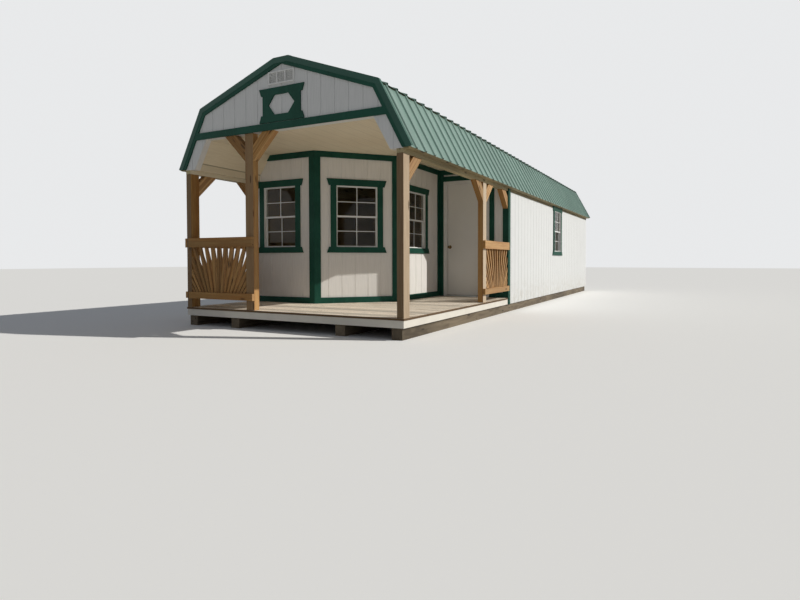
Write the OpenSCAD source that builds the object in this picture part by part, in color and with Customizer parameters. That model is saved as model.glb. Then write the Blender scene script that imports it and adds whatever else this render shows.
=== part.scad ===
// Portable barn cabin on skids: gambrel roof, grooved panel walls and a porch that wraps round one front
// corner behind a slanted wall. The front gable faces -Y, +X is to its right, and z = 0 is the ground.

/* [Cabin] */
// Width over the faces of the long walls
cabin_w = 3505; // [3300:1:3700]
// Length from the face of the front posts to the rear wall
cabin_l = 10973; // [9600:1:12200]
// Depth of the porch across the front
front_porch = 1219; // [1100:1:1350]
// Distance from the front to the wall that holds the door
side_porch = 3658; // [3500:1:3900]
// Width of the porch along the right side
side_porch_w = 1331; // [1331:1:1400]
// Leg of the slanted wall along each axis
bay_leg = 914; // [880:1:960]
// Thickness of the wall studs
stud = 89; // [64:1:140]
// Thickness of the grooved wall panels
skin = 12; // [9:1:16]

/* [Roof] */
// Half width of the roof over the eaves
eave_x = 1852; // [1830:1:1880]
// Height of the roof edge over the floor
eave_z = 1922; // [1920:1:1940]
// Half width of the roof at the knee between the slopes
knee_x = 1425; // [1410:1:1445]
// Height of the knee over the floor
knee_z = 2713; // [2690:1:2740]
// Half width of the level strip along the ridge
peak_x = 117; // [90:1:150]
// Height of the ridge over the floor
ridge_z = 3183; // [3160:1:3200]
// How far the roof runs past the end walls
overhang = 20; // [20:1:30]
// Spacing of the ribs in the roof sheets
rib_pitch = 229; // [200:1:305]
// Height of the ribs
rib_h = 19; // [12:1:25]

/* [Floor] */
// Height of the skids
skid_h = 140; // [120:1:190]
// Height of the floor joists and rim boards
joist_h = 89; // [80:1:140]
// Thickness of the deck boards
board_t = 25; // [19:1:32]
// Width of one deck board
board_w = 140; // [120:1:150]

/* [Porch] */
// Height of the porch headers over the floor
header_z = 1864; // [1840:1:1870]
// Height of the porch ceiling over the floor
ceiling_z = 2312; // [2300:1:2340]
// Height of the railing over the floor
rail_z = 965; // [900:1:1000]
// Spacing of the railing bars where they leave the bottom rail
fan_pitch = 58; // [54:1:64]
// Depth of the point that the railing bars fan out from, below the bottom rail
fan_depth = 579; // [520:1:650]

/* [Windows] */
// Width of a window frame
win_w = 635; // [560:1:660]
// Height of a window frame
win_h = 940; // [900:1:980]
// Height of the window sills over the floor
win_z = 864; // [840:1:880]

/* [Door] */
// Width of the door leaf
door_w = 813; // [760:1:820]
// Height of the door leaf
door_h = 2032; // [1980:1:2040]
// Thickness of the door leaf
door_t = 44; // [38:1:46]
// Gap round the door leaf
door_gap = 8; // [6:1:9]

/* [Hidden] */

// Colours of the finishes
white = [0.93, 0.93, 0.90];
cream = [0.86, 0.82, 0.72];
green = [0.09, 0.27, 0.20];
roof_green = [0.33, 0.50, 0.44];
flashing_green = [0.16, 0.36, 0.30];
pine = [0.72, 0.56, 0.38];
brown = [0.42, 0.34, 0.22];
deck_pine = [0.80, 0.72, 0.58];
glass = [0.35, 0.42, 0.45];
brass = [0.70, 0.60, 0.35];
steel = [0.60, 0.60, 0.60];

// Timber sections
post_w = 89;      // narrow face of a 4 by 6 post, and of all 2 by 4 timber
post_d = 140;     // broad face of a 4 by 6 post, and width of a skid
plank = 38;       // thickness of 2 by 4 timber
trim_t = 19;      // thickness of the green trim boards
trim_w = 89;      // width of the green trim boards
rake_w = 68;      // width of the boards along the roof edge
eps = 1;          // how far a cutter runs past the face it opens
hair = 0.1;       // gap where slanted faces lie against each other

// Levels and plan lines
floor_z = skid_h + joist_h + board_t;
wall_x = cabin_w / 2;                          // outer face of the long walls
front_y = -cabin_l / 2;                        // outer face of the front posts
rear_y = cabin_l / 2;                          // outer face of the rear wall
porch_x = wall_x - side_porch_w;               // face of the wall along the side porch
corner_x = porch_x - bay_leg;                  // end of the front wall
plate_z = header_z + post_w;                   // top of the plates that the roof stands on
wall_in = skin + stud;                         // full thickness of a wall
mitre = tan(22.5);                             // shift of a 45 degree corner when its walls move in by 1

// Corners of the cabin in plan, moved in by t from the outer faces; wall i runs from corner i to i + 1
function plan(t) = [
    [-wall_x + t, front_y + front_porch + t],
    [corner_x - t * mitre, front_y + front_porch + t],
    [porch_x - t, front_y + front_porch + bay_leg + t * mitre],
    [porch_x - t, front_y + side_porch + t],
    [wall_x - t, front_y + side_porch + t],
    [wall_x - t, rear_y - t],
    [-wall_x + t, rear_y - t]
];
corners = plan(0);
FRONT = 0;
BAY = 1;
SIDE = 2;
DOOR = 3;
RIGHT = 4;
REAR = 5;
LEFT = 6;
function corner(i) = corners[i % 7];
function run(i) = corner(i + 1) - corner(i);
function wall_length(i) = norm(run(i));
function heading(i) = atan2(run(i)[1], run(i)[0]);
function along(i) = run(i) / wall_length(i);
function outward(i) = [along(i)[1], -along(i)[0]];

// Right half of the roof line, moved in by d from the outer face of the metal
low_run = [eave_x - knee_x, eave_z - knee_z];
up_run = [knee_x - peak_x, knee_z - ridge_z];
low_out = [-low_run[1], low_run[0]] / norm(low_run);
up_out = [-up_run[1], up_run[0]] / norm(up_run);
knee_out = (low_out + up_out) / (1 + low_out * up_out);
peak_out = (up_out + [0, 1]) / (1 + up_out[1]);
function peak(d) = [peak_x, ridge_z] - d * peak_out;
function knee(d) = [knee_x, knee_z] - d * knee_out;
function eave(d) = [eave_x, eave_z] - d * low_out;
function flip(p) = [-p[0], p[1]];
function roof_line(d) = [flip(eave(d)), flip(knee(d)), flip(peak(d)), peak(d), knee(d), eave(d)];
// The same line with its upper slopes carried on until they meet
function apex(d) = [0, peak(d)[1] - peak(d)[0] * up_run[1] / up_run[0]];
function pointed_line(d) = [flip(eave(d)), flip(knee(d)), apex(d), knee(d), eave(d)];
// Height of the lower slope at depth d over x, and the place where it has height z
function low_slope_z(x, d) = eave(d)[1] + (x - eave(d)[0]) * low_run[1] / low_run[0];
function low_slope_x(z, d) = eave(d)[0] + (z - eave(d)[1]) * low_run[0] / low_run[1];
function backwards(list) = [for (k = [len(list) - 1:-1:0]) list[k]];
sheet_t = 4;                                   // roof sheets
deck_t = 24;                                   // boards under the sheets, from sheet_t to deck_t + sheet_t
roof_in = sheet_t + deck_t;
roof_l = cabin_l + 2 * overhang;

// Places of the windows: wall, and distance of the window's middle along it
window_places = [
    [FRONT, 584],
    [BAY, wall_length(BAY) / 2],
    [SIDE, 620],
    [RIGHT, wall_length(RIGHT) / 2],
    [LEFT, wall_length(RIGHT) / 2]
];

// Places in the door wall, measured along it from the inner corner
jamb_t = 36;
leaf_s = 133;                                  // latch edge of the leaf
threshold_h = 22;
leaf_z = threshold_h + door_gap / 2;           // foot of the leaf over the floor
hole_s = leaf_s - door_gap - jamb_t;
hole_w = door_w + 2 * (door_gap + jamb_t);
hole_h = leaf_z + door_h + door_gap + jamb_t;
hinge_s = leaf_s + door_w + door_gap / 2;
hinge_y = wall_in + 8;                         // hinge pins stand proud of the inner face
pin_r = 6;

// Turns and moves its children to the outer face of wall i, s along it; +Y there points into the cabin
module at_wall(i, s = 0, z = 0) {
    p = corner(i) + s * along(i);
    translate([p[0], p[1], floor_z + z]) rotate([0, 0, heading(i)]) children();
}

// Extrudes a drawing of the front elevation backwards, from y over depth
module elevation(y, depth) {
    translate([0, y + depth, floor_z]) rotate([90, 0, 0]) linear_extrude(depth) children();
}

module plan_prism(points, z0, z1) {
    translate([0, 0, z0]) linear_extrude(z1 - z0) polygon(points);
}

// Strip of wall i between depths a and b
function strip(i, a, b) = [plan(a)[i % 7], plan(a)[(i + 1) % 7], plan(b)[(i + 1) % 7], plan(b)[i % 7]];
module wall_slab(i, z0, z1) {
    plan_prism(strip(i, skin, wall_in), floor_z + z0, floor_z + z1);
}

// Grooved panel
groove_pitch = 203;
groove_w = 10;
groove_d = 5;
// Outer edge of a panel of length l with its grooves, drawn along +X with the wall above it
function groove_line(l) = [
    for (s = [groove_pitch:groove_pitch:l - groove_w * 2])
        for (c = [[-groove_w / 2, 0], [-groove_w / 4, groove_d], [groove_w / 4, groove_d], [groove_w / 2, 0]])
            [s + c[0], c[1]]
];
// Points of a wall's drawing moved to its place in plan
function placed(i, points) = [for (p = points) corner(i) + p[0] * along(i) - p[1] * outward(i)];
module grooved_panel(i, z0, z1) {
    plan_prism(
        concat([plan(0)[i % 7]], placed(i, groove_line(wall_length(i))), [plan(0)[(i + 1) % 7]],
            [plan(skin)[(i + 1) % 7], plan(skin)[i % 7]]),
        floor_z + z0, floor_z + z1);
}

// Everything under the slope of the porch ceiling, as seen from the front
ceiling_x = 1354;                              // where the flat ceiling ends
slope_x = 1580;                                // where its slopes end
slope_z = 2006;
leg_z = 1916;                                  // foot of the gable's legs, and of the drop below the slopes
under_ceiling = [
    [-wall_x, 0], [wall_x, 0], [wall_x, plate_z], [slope_x, plate_z], [slope_x, slope_z],
    [ceiling_x, ceiling_z], [-ceiling_x, ceiling_z],
    [-slope_x, slope_z], [-slope_x, plate_z], [-wall_x, plate_z]
];
module below_ceiling() {
    intersection() {
        children();
        elevation(front_y, side_porch + cabin_l / 4) polygon(under_ceiling);
    }
}

// Everything under the roof boards
roof_foot = [wall_x, low_slope_z(wall_x, roof_in)];
wall_foot = [wall_x, -joist_h - board_t];
under_roof = [
    flip(wall_foot), flip(roof_foot), flip(knee(roof_in)), flip(peak(roof_in)),
    peak(roof_in), knee(roof_in), roof_foot, wall_foot
];

// Holes
module window_hole(i, s) {
    at_wall(i, s - win_w / 2, win_z) translate([0, -eps, 0]) cube([win_w, wall_in + 2 * eps, win_h]);
}
module window_holes(i) {
    for (w = window_places) if (w[0] == i) window_hole(i, w[1]);
}
module door_hole() {
    at_wall(DOOR, hole_s, -eps) translate([0, -eps, 0]) cube([hole_w, wall_in + 2 * eps, hole_h + eps]);
}

// Floor
outer_skid_x = wall_x - 30;                    // outer face of the outer skids
inner_skid_x = 930;                            // outer face of the inner skids
module skids() {
    color(brown) for (x = [-outer_skid_x, -inner_skid_x, inner_skid_x - post_d, outer_skid_x - post_d])
        translate([x, front_y + 20, 0]) cube([post_d, cabin_l - 40, skid_h]);
}

joist_pitch = 406;
module floor_joists() {
    inner_x = wall_x - plank;
    front = front_y + front_porch;             // under the front wall
    side = front_y + side_porch;               // under the door wall
    color(brown) {
        // under the porch they run back from the front, across its boards
        for (x = [joist_pitch - inner_x:joist_pitch:inner_x - joist_pitch]) {
            end = x > porch_x ? side : front;
            translate([x, front_y + plank, skid_h]) cube([plank, end - front_y - plank, joist_h]);
        }
        translate([porch_x, front, skid_h]) cube([plank, side - front, joist_h]);
        // under the cabin they run from side to side
        for (y = [front:joist_pitch:rear_y - joist_pitch]) {
            end = y + plank > side ? inner_x : porch_x;
            translate([-inner_x, y, skid_h]) cube([end + inner_x, plank, joist_h]);
        }
        translate([-inner_x, side, skid_h]) cube([2 * inner_x, plank, joist_h]);
        translate([-inner_x, rear_y - skin - plank, skid_h]) cube([2 * inner_x, plank, joist_h]);
        // along both sides of the cabin
        translate([inner_x - skin, side, skid_h]) cube([plank, rear_y - skin - side, joist_h]);
        translate([-wall_x + skin, front, skid_h]) cube([plank, rear_y - skin - front, joist_h]);
    }
}

module rim_boards() {
    color(white) {
        translate([-wall_x, front_y, skid_h]) cube([cabin_w, plank, joist_h]);
        translate([wall_x - plank, front_y + plank, skid_h]) cube([plank, side_porch - plank, joist_h]);
        translate([-wall_x, front_y + plank, skid_h]) cube([plank, front_porch - plank, joist_h]);
    }
}

lip = 8;                                       // how far the boards stand past the rim
module porch_deck() {
    pitch = board_w + 5;
    color(deck_pine) for (y = [-lip:pitch:side_porch]) {
        from = front_y + y;
        width = min(board_w, side_porch - 3 - y);
        if (width > plank) difference() {
            translate([-wall_x - lip, from, skid_h + joist_h]) cube([cabin_w + 2 * lip, width, board_t]);
            plan_prism(plan(-3), skid_h + joist_h - eps, floor_z + eps);
        }
    }
}

module cabin_floor() {
    c = plan(0);
    s = plan(skin);
    color(deck_pine) plan_prism(
        [[s[0][0], c[0][1]], c[1], c[2], c[3], [s[4][0], c[3][1]], s[5], s[6]], skid_h + joist_h, floor_z);
}

// Porch posts
post_x = wall_x - post_w;
side_post_y = front_y + 2464;
inner_post_x = -635;
module post(x, y, w, d, h) {
    translate([x, y, floor_z]) cube([w, d, h]);
}
module porch_posts() {
    color(pine) {
        post(-wall_x, front_y, post_w, post_d, header_z);
        post(inner_post_x, front_y, post_d, post_w, ceiling_z);
        post(post_x, front_y, post_w, post_d, header_z);
        post(post_x, side_post_y, post_w, post_d, header_z);
    }
}

// A brace in the angle between a post, on the left, and the timber over it; r is its reach along both
module brace(r) {
    cut = post_d * sqrt(2);
    linear_extrude(post_w) polygon([[0, -r], [r, 0], [r - cut, 0], [0, cut - r]]);
}
// The same brace along +Y under the header of one side
module side_brace(x, y, turned, r = 305) {
    translate([x, y, floor_z + header_z]) mirror([0, turned, 0]) rotate([90, 0, 90]) brace(r);
}
module knee_braces() {
    reach = 360;
    color(pine) {
        for (turned = [0, 1])
            translate([inner_post_x + (1 - turned) * post_d, front_y + post_w, floor_z + ceiling_z])
                mirror([turned, 0, 0]) rotate([90, 0, 0]) brace(reach);
        side_brace(-wall_x, front_y + post_d, 0);
        side_brace(-wall_x, front_y + front_porch - trim_t, 1);
        side_brace(post_x, front_y + post_d, 0);
        side_brace(post_x, side_post_y, 1);
        side_brace(post_x, side_post_y + post_d, 0);
        side_brace(post_x, front_y + side_porch - trim_t, 1);
    }
}

// Headers along the sides of the porch, with a notch at the front for the foot of the gable's legs
module header(x, l) {
    translate([x, front_y, floor_z + header_z]) difference() {
        cube([post_w, l, post_w]);
        translate([-eps, -eps, leg_z - header_z - hair]) cube([post_w + 2 * eps, post_w + eps + hair, post_w]);
    }
}
module porch_headers() {
    color(brown) {
        header(post_x, side_porch);
        header(-wall_x, front_porch);
    }
}

// Railing between two posts: rails on their outer faces and bars that fan out of the bottom rail.
// It is drawn along +X with its face at y = 0; the bay runs from 0 to bay and the rails run past it
module railing(bay, before, after) {
    bar = 38;
    foot = 127;                                // underside of the bottom rail
    rail_l = before + bay + after;
    spread = floor((bay / 2 - bar) / fan_pitch);
    focus = foot + post_w - fan_depth;
    for (z = [foot, rail_z - plank - post_w]) translate([-before, -plank, z]) cube([rail_l, plank, post_w]);
    translate([-before, -plank, rail_z - plank]) cube([rail_l, plank, plank]);
    translate([0, -eps, rail_z - plank]) cube([bay, post_w - plank + eps, plank]);
    intersection() {
        for (k = [-spread:spread])
            translate([bay / 2, 0, focus]) rotate([0, atan2(k * fan_pitch, fan_depth), 0])
                translate([-bar / 2, 0, 0]) cube([bar, bar, 3 * rail_z]);
        translate([0, -eps, foot]) cube([bay, bar + 2 * eps, rail_z - plank - foot]);
    }
}
module front_railing() {
    color(pine) translate([-post_x, front_y, floor_z])
        railing(inner_post_x + post_x, post_w, post_d);
}
module right_railing() {
    y0 = side_post_y + post_d;
    color(pine) translate([wall_x, y0, floor_z]) rotate([0, 0, 90])
        railing(front_y + side_porch - trim_t - y0, post_d, trim_t);
}
module left_railing() {
    y1 = front_y + front_porch - trim_t;
    color(pine) translate([-wall_x, y1, floor_z]) rotate([0, 0, -90])
        railing(y1 - front_y - post_d, trim_t, post_d);
}

// Walls
module side_wall_slab(i) {
    difference() {
        wall_slab(i, 0, header_z);
        window_holes(i);
    }
}
module left_wall() {
    color(white) side_wall_slab(LEFT);
}
module right_wall() {
    color(white) side_wall_slab(RIGHT);
}
module top_plates() {
    color(brown) for (i = [RIGHT, LEFT])
        plan_prism(strip(i, 0, wall_in), floor_z + header_z, floor_z + plate_z);
}
module rear_wall() {
    color(white) intersection() {
        elevation(rear_y - wall_in, stud) polygon(under_roof);
        plan_prism(strip(REAR, skin, wall_in), floor_z, floor_z + ridge_z);
    }
}
module porch_wall_slab(i) {
    below_ceiling() difference() {
        wall_slab(i, 0, ceiling_z);
        window_holes(i);
    }
}
module front_wall() {
    color(white) porch_wall_slab(FRONT);
}
module bay_wall() {
    color(white) porch_wall_slab(BAY);
}
module porch_side_wall() {
    color(white) porch_wall_slab(SIDE);
}
// The door wall between two places along it, from z0 up
module door_wall_part(from, to, z0) {
    below_ceiling() intersection() {
        wall_slab(DOOR, z0, ceiling_z);
        at_wall(DOOR, from, z0) cube([to - from, wall_in, ceiling_z - z0]);
    }
}
module door_wall_left() {
    color(white) door_wall_part(-wall_in, hole_s, 0);
}
module door_wall_right() {
    color(white) door_wall_part(hole_s + hole_w, wall_length(DOOR), 0);
}
module door_wall_header() {
    color(white) door_wall_part(hole_s, hole_s + hole_w, hole_h);
}

// Grooved panels
module side_siding() {
    color(white) for (i = [RIGHT, LEFT]) difference() {
        grooved_panel(i, -board_t - joist_h, header_z);
        window_holes(i);
    }
}
module rear_siding() {
    color(white) intersection() {
        grooved_panel(REAR, -board_t - joist_h, ridge_z);
        elevation(rear_y - wall_in, wall_in + eps) polygon(under_roof);
    }
}
module porch_siding() {
    color(white) below_ceiling() difference() {
        for (i = [FRONT, BAY, SIDE, DOOR]) grooved_panel(i, 0, ceiling_z);
        for (i = [FRONT, BAY, SIDE]) window_holes(i);
        door_hole();
    }
}

// Front gable with a leg down each lower slope: a frame behind, and one grooved panel over all of it
module gable_shapes() {
    leg_top_x = low_slope_x(ceiling_z, roof_in);
    polygon([
        [-leg_top_x, ceiling_z], [leg_top_x, ceiling_z], knee(roof_in),
        peak(roof_in), flip(peak(roof_in)), flip(knee(roof_in))
    ]);
    for (side = [0, 1]) mirror([side, 0]) polygon([
        [ceiling_x, ceiling_z], [slope_x, leg_z], [wall_x, leg_z], roof_foot, [leg_top_x, ceiling_z]
    ]);
}
module front_gable() {
    color(white) elevation(front_y + skin, post_w - skin) gable_shapes();
}
module front_gable_siding() {
    last = floor(wall_x / groove_pitch);
    color(white) difference() {
        elevation(front_y, skin) gable_shapes();
        for (k = [-last:last])
            translate([k * groove_pitch - groove_w / 2, front_y - eps, floor_z + header_z])
                cube([groove_w, groove_d + eps, ridge_z]);
    }
}

// Porch ceiling: flat, with a slope and a drop down to the header on each outer side
ceiling_t = 10;
module porch_ceiling() {
    from = front_y + post_w;
    c = corners;
    slope = [
        [ceiling_x, ceiling_z], [slope_x, slope_z], [slope_x, leg_z], [post_x, leg_z],
        [post_x, leg_z + ceiling_t], [slope_x + ceiling_t, leg_z + ceiling_t],
        [slope_x + ceiling_t, slope_z + ceiling_t], [ceiling_x, ceiling_z + ceiling_t]
    ];
    color(cream) {
        plan_prism([
            [-ceiling_x, from], [ceiling_x, from], [ceiling_x, c[3][1]],
            c[3], c[2], c[1], [-ceiling_x, c[1][1]]
        ], floor_z + ceiling_z, floor_z + ceiling_z + ceiling_t);
        elevation(from, side_porch - post_w) polygon(slope);
        elevation(from, front_porch - post_w) polygon([for (p = slope) flip(p)]);
    }
}

// Roof
// Boards of one slope, between two points of the roof line; the seams between slopes stay a hair open
module slope_boards(a, b, a_in, b_in) {
    seam = (b - a) / norm(b - a);
    elevation(front_y - overhang + sheet_t, roof_l - 2 * sheet_t)
        polygon([a + seam, b - seam, b_in - seam, a_in + seam]);
}
module roof_boards() {
    top = sheet_t + hair;
    foot = roof_in - hair;
    color(brown) {
        slope_boards(flip(peak(top)), peak(top), flip(peak(foot)), peak(foot));
        for (side = [0, 1]) mirror([side, 0, 0]) {
            slope_boards(peak(top), knee(top), peak(foot), knee(foot));
            slope_boards(knee(top), eave(top), knee(foot), eave(foot));
        }
    }
}

// Edge of a ribbed sheet, drawn along +X with the ribs upwards
rib_foot = 44;
rib_top = 22;
first_rib = 150;                               // its middle, from the front edge of the roof
rib_line = [
    for (s = [first_rib:rib_pitch:roof_l - rib_foot])
        for (c = [[-rib_foot / 2, 0], [-rib_top / 2, rib_h], [rib_top / 2, rib_h], [rib_foot / 2, 0]])
            [s + c[0], c[1]]
];
module ribbed_sheet(length) {
    linear_extrude(length)
        polygon(concat([[0, -sheet_t], [0, 0]], rib_line, [[roof_l, 0], [roof_l, -sheet_t]]));
}
// A sheet on each side, from point p of the roof line down to q, less near and far at its two ends
module slope_sheets(p, q, near, far) {
    v = q - p;
    l = norm(v);
    start = p + v * near / l;
    for (side = [0, 1]) mirror([side, 0, 0])
        translate([start[0], front_y - overhang, floor_z + start[1]])
            rotate([0, 90 - atan2(v[1], v[0]), 0]) rotate([0, 0, 90]) ribbed_sheet(l - near - far);
}
// The upper sheets run on past the knee, over the lower ones, except where the rake's angle bends there
knee_lap = 45;
rake_leg = 45;                                 // width of the rake angle's leg on the roof
module upper_roof_sheets() {
    color(roof_green) difference() {
        slope_sheets(peak(0), knee(0), 6, -knee_lap);
        both_ends() elevation(-overhang - eps, rake_leg + 3) for (side = [0, 1]) mirror([side, 0])
            polygon([knee(2 * roof_in), knee(-3 * rib_h), [eave_x, ridge_z], [eave_x, eave_z]]);
    }
}
// The lower sheets start where their ribs clear the upper ones
module lower_roof_sheets() {
    color(roof_green) slope_sheets(knee(0), eave(0), 32, 0);
}

// Bent strip over the ribs along the ridge; it lies on the legs of the rake angles
flash_t = 2;
function toward(p, q, d) = p + (q - p) * d / norm(q - p);
function cap_half(d) = [peak(d), toward(peak(d), knee(d), 60)];
function cap_line(d) = concat(backwards([for (p = cap_half(d)) flip(p)]), cap_half(d));
module roof_flashings() {
    color(flashing_green) elevation(front_y - overhang, roof_l) polygon(concat(
        cap_line(-rib_h - 2 * flash_t), backwards(cap_line(-rib_h - flash_t - hair))));
}

// Rakes: a board on the gable under the roof edge, and a metal angle over the edge of the roof
rake_face = 70;                                // height of the angle's face
// A band between two roof lines, cut level at the eaves
module rake_band(outer, inner) {
    intersection() {
        polygon(concat(outer, backwards(inner)));
        translate([-cabin_w, eave_z]) square([2 * cabin_w, 2 * ridge_z]);
    }
}
module both_ends() {
    translate([0, front_y, 0]) children();
    mirror([0, 1, 0]) translate([0, front_y, 0]) children();
}
module rake_boards() {
    color(green) both_ends() elevation(-trim_t, trim_t)
        rake_band(roof_line(roof_in), pointed_line(roof_in + rake_w));
}
module rake_flashings() {
    top = -rib_h - flash_t;
    color(flashing_green) both_ends() {
        elevation(-overhang - flash_t, flash_t - hair) rake_band(roof_line(top), roof_line(rake_face - rib_h));
        elevation(-overhang - hair, rake_leg) rake_band(roof_line(top), roof_line(-rib_h - hair));
    }
}

// Boards that close the eaves between the plates and the roof
module eave_boards() {
    tip = eave(roof_in);
    color(brown) for (side = [0, 1]) mirror([side, 0, 0])
        elevation(front_y, cabin_l) polygon([[wall_x, tip[1]], tip, roof_foot]);
}

// A panel of half width half and height h with a board across its head and one across its foot. These are
// a step wider than the panel and flare towards their outer edges
module flared_frame(half, h, head_h, foot_h) {
    step = 26;
    flare = 58;
    for (end = [[h - head_h, 0, head_h], [foot_h, 1, foot_h]])
        translate([0, end[0]]) mirror([0, end[1]]) polygon([
            [-half - step, 0], [half + step, 0], [half + flare, end[2]], [-half - flare, end[2]]
        ]);
    translate([-half, foot_h]) square([2 * half, h - head_h - foot_h]);
}

// Trim on the gable: a level band, and a flared board with a six sided opening
module gable_band() {
    top_z = ceiling_z + trim_w;
    end_d = roof_in + rake_w + hair;
    foot_x = low_slope_x(ceiling_z, end_d);
    top_x = low_slope_x(top_z, end_d);
    polygon([[-foot_x, ceiling_z], [foot_x, ceiling_z], [top_x, top_z], [-top_x, top_z]]);
}
module gable_ornament() {
    half = 305;
    h = 428;
    translate([0, ceiling_z + 97]) difference() {
        flared_frame(half, h, trim_w, trim_w);
        translate([0, h / 2]) polygon([
            for (s = [1, -1]) for (c = [[114, -125], [214, 0], [114, 125]]) [s * c[0], s * c[1]]
        ]);
    }
}
module gable_trim() {
    color(green) elevation(front_y - trim_t, trim_t) {
        gable_band();
        gable_ornament();
    }
}

// Vent of three bays with slats
module gable_vent() {
    vent_w = 416;
    vent_h = 160;
    vent_z = ridge_z - 305;
    frame = 16;
    bay = (vent_w - 4 * frame) / 3;
    color(white) {
        elevation(front_y - trim_t, trim_t) difference() {
            translate([-vent_w / 2, vent_z]) square([vent_w, vent_h]);
            for (k = [0:2])
                translate([-vent_w / 2 + frame + k * (bay + frame), vent_z + frame])
                    square([bay, vent_h - 2 * frame]);
        }
        for (k = [0:4])
            translate([-vent_w / 2 + frame, front_y - trim_t + 3, floor_z + vent_z + frame + 8 + k * 24])
                rotate([-35, 0, 0]) cube([vent_w - 2 * frame, 3, 12]);
    }
}

// Boards on the corners of the porch walls, folded round them
module corner_board(i) {
    a = corner(i) - trim_w * along(i - 1);
    b = corner(i) + trim_w * along(i);
    plan_prism([
        a + hair * outward(i - 1), plan(-hair)[i], b + hair * outward(i),
        b + trim_t * outward(i), plan(-trim_t)[i], a + trim_t * outward(i - 1)
    ], floor_z, floor_z + ceiling_z);
}
// A flat board on the face of wall i
module board_on(i, s, z, w, h) {
    at_wall(i, s, z) translate([0, -trim_t, 0]) cube([w, trim_t - hair, h]);
}

// Boards along the foot and head of a porch wall, between the corner boards
module wall_board(i, from, to, z) {
    board_on(i, from, z, to - from, trim_w);
}
casing_s = hole_s + hole_w;                    // the door's casing starts here
module wall_trim() {
    head = ceiling_z - trim_w;
    color(green) {
        for (i = [BAY:DOOR]) corner_board(i);
        board_on(FRONT, 0, 0, trim_w, header_z);
        board_on(DOOR, wall_length(DOOR) - trim_w, 0, trim_w, header_z);
        for (i = [FRONT:SIDE]) wall_board(i, trim_w, wall_length(i) - trim_w, 0);
        wall_board(DOOR, casing_s + trim_w, wall_length(DOOR) - trim_w, 0);
        below_ceiling() {
            for (i = [BAY, SIDE]) wall_board(i, trim_w, wall_length(i) - trim_w, head);
            wall_board(FRONT, 0, wall_length(FRONT) - trim_w, head);
            wall_board(DOOR, trim_w, wall_length(DOOR), head);
        }
    }
}

// Windows
casing_w = 89;
module window_casing() {
    head_h = 102;
    // drawn as seen from outside, x across from the middle and y up from the foot of the frame
    translate([0, -hair, 0]) rotate([90, 0, 0]) linear_extrude(trim_t - hair) difference() {
        translate([0, -casing_w])
            flared_frame(win_w / 2 + casing_w, win_h + head_h + casing_w, head_h, casing_w);
        translate([-win_w / 2, 0]) square([win_w, win_h]);
    }
}
module window_casings() {
    color(green) for (w = window_places) at_wall(w[0], w[1], win_z) window_casing();
}

// A double hung window: a frame, an upper sash near the outside and a lower sash behind it
frame_w = 12;                                  // face of the frame
sash_w = 24;                                   // face of a sash's stiles and rails
sash_t = 24;                                   // thickness of a sash
bar_w = 14;                                    // face of the bars in the glass
sash_h = win_h / 2 + sash_w / 2 - frame_w;     // the sashes meet over one rail
// Foot over the frame's foot, and depth of the outer face behind the wall's face
sash_places = [[win_h - frame_w - sash_h, 8], [frame_w, 8 + sash_t + 2]];
pane_w = win_w - 2 * frame_w - 2 * sash_w;
pane_h = sash_h - 2 * sash_w;
glass_t = 6;
// A flat frame of width w, height h and face f, as deep as t, standing on z = 0 and centred on x = 0
module ring(w, h, f, t) {
    difference() {
        translate([-w / 2, 0, 0]) cube([w, t, h]);
        translate([f - w / 2, -eps, f]) cube([w - 2 * f, t + 2 * eps, h - 2 * f]);
    }
}
module sash() {
    bar_t = (sash_t - glass_t) / 2;
    ring(win_w - 2 * frame_w, sash_h, sash_w, sash_t);
    translate([-bar_w / 2, 0, sash_w]) cube([bar_w, bar_t, pane_h]);
    translate([-pane_w / 2, 0, (sash_h - bar_w) / 2]) cube([pane_w, bar_t, bar_w]);
}
module window_frames() {
    color(white) for (w = window_places) at_wall(w[0], w[1], win_z) {
        translate([0, -12, hair]) ring(win_w - 2 * hair, win_h - 2 * hair, frame_w, 80);
        for (s = sash_places) translate([0, s[1], s[0]]) sash();
    }
}
module window_glass() {
    color(glass) for (w = window_places) at_wall(w[0], w[1], win_z)
        for (s = sash_places) translate([-pane_w / 2, s[1] + (sash_t - glass_t) / 2, s[0] + sash_w])
            cube([pane_w, glass_t, pane_h]);
}

// Door
stop_w = 18;                                   // how far the stops stand out of the jambs
sill_h = threshold_h - door_gap / 2;
// A frame round the doorway, of thickness t inside the hole moved in by m, between depths y0 and y1
module door_surround(m, t, y0, y1, foot) {
    w = hole_w - 2 * m;
    h = hole_h - m;
    at_wall(DOOR, hole_s + m) difference() {
        translate([0, y0, foot]) cube([w, y1 - y0, h - foot]);
        translate([t, y0 - eps, foot - eps]) cube([w - 2 * t, y1 - y0 + 2 * eps, h - t - foot + eps]);
    }
}
module door_frame() {
    stop_y = wall_in - door_t - door_gap;      // the stops end just before the leaf
    color(white) {
        door_surround(0, jamb_t, -8, wall_in, 0);
        door_surround(jamb_t, stop_w, stop_y - plank, stop_y, sill_h);
    }
}
module door_sill() {
    color(steel) at_wall(DOOR, hole_s + jamb_t) cube([hole_w - 2 * jamb_t, wall_in, sill_h]);
}
module door_casing() {
    color(green) below_ceiling() {
        board_on(DOOR, casing_s, 0, trim_w, hole_h);
        board_on(DOOR, trim_w, hole_h, casing_s, trim_w);
    }
}
module door_leaf() {
    color(white) at_wall(DOOR, leaf_s, leaf_z)
        translate([0, wall_in - door_t, 0]) cube([door_w, door_t, door_h]);
}
knob_z = 902;
module knob() {
    rotate([90, 0, 0]) {
        cylinder(h = 6, r = 32, $fn = 32);
        cylinder(h = 30, r = 11, $fn = 24);
        translate([0, 0, 42]) sphere(r = 26, $fn = 32);
    }
}
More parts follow.
